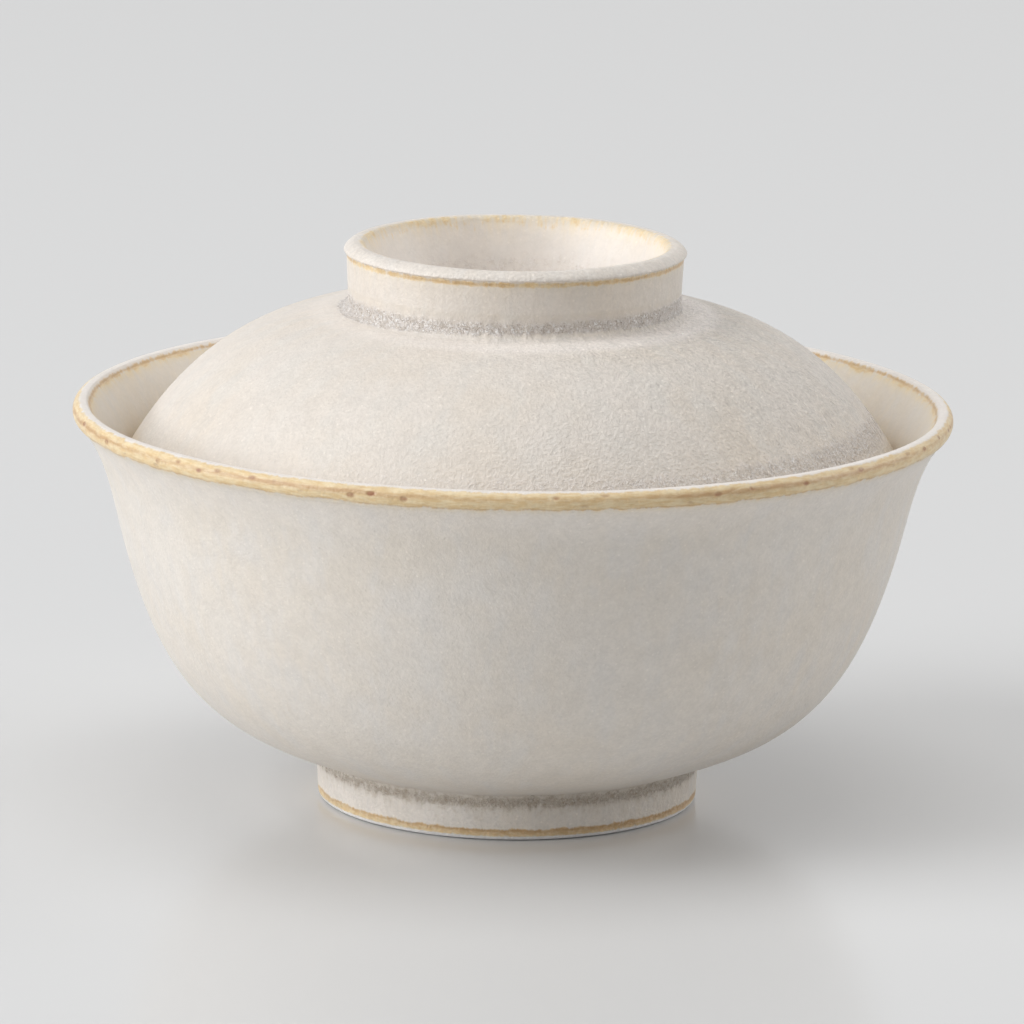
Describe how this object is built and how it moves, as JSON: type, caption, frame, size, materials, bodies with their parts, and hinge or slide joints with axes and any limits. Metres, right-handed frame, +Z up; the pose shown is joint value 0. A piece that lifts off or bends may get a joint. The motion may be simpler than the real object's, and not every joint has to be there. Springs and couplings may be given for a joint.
{
  "type": "lidded rice bowl",
  "caption": "Donburi bowl with a flared, rolled rim and a foot ring, closed by a domed lid with a ring-shaped knob that seats inside the rim.",
  "frame": {"origin": "centre of the foot ring on the surface that the bowl stands on", "axes": "+Z up the turning axis that the bowl and the lid share; the shape is round, so X and Y are free"},
  "size_m": [0.152, 0.152, 0.0976],
  "materials": {
    "bowl_glaze": "satin off-white glaze, breaking to ochre on the rim and the foot",
    "lid_glaze": "satin off-white glaze, breaking to ochre on the edges, grey crystals in the creases"
  },
  "bodies": {
    "bowl": {"bowl": "bowl_glaze"},
    "lid": {"lid": "lid_glaze"}
  },
  "joints": [
    {"name": "lid_lift", "type": "slide", "parent": "bowl", "child": "lid", "axis": [0, 0, 1], "range_m": [0, 0.12]}
  ]
}
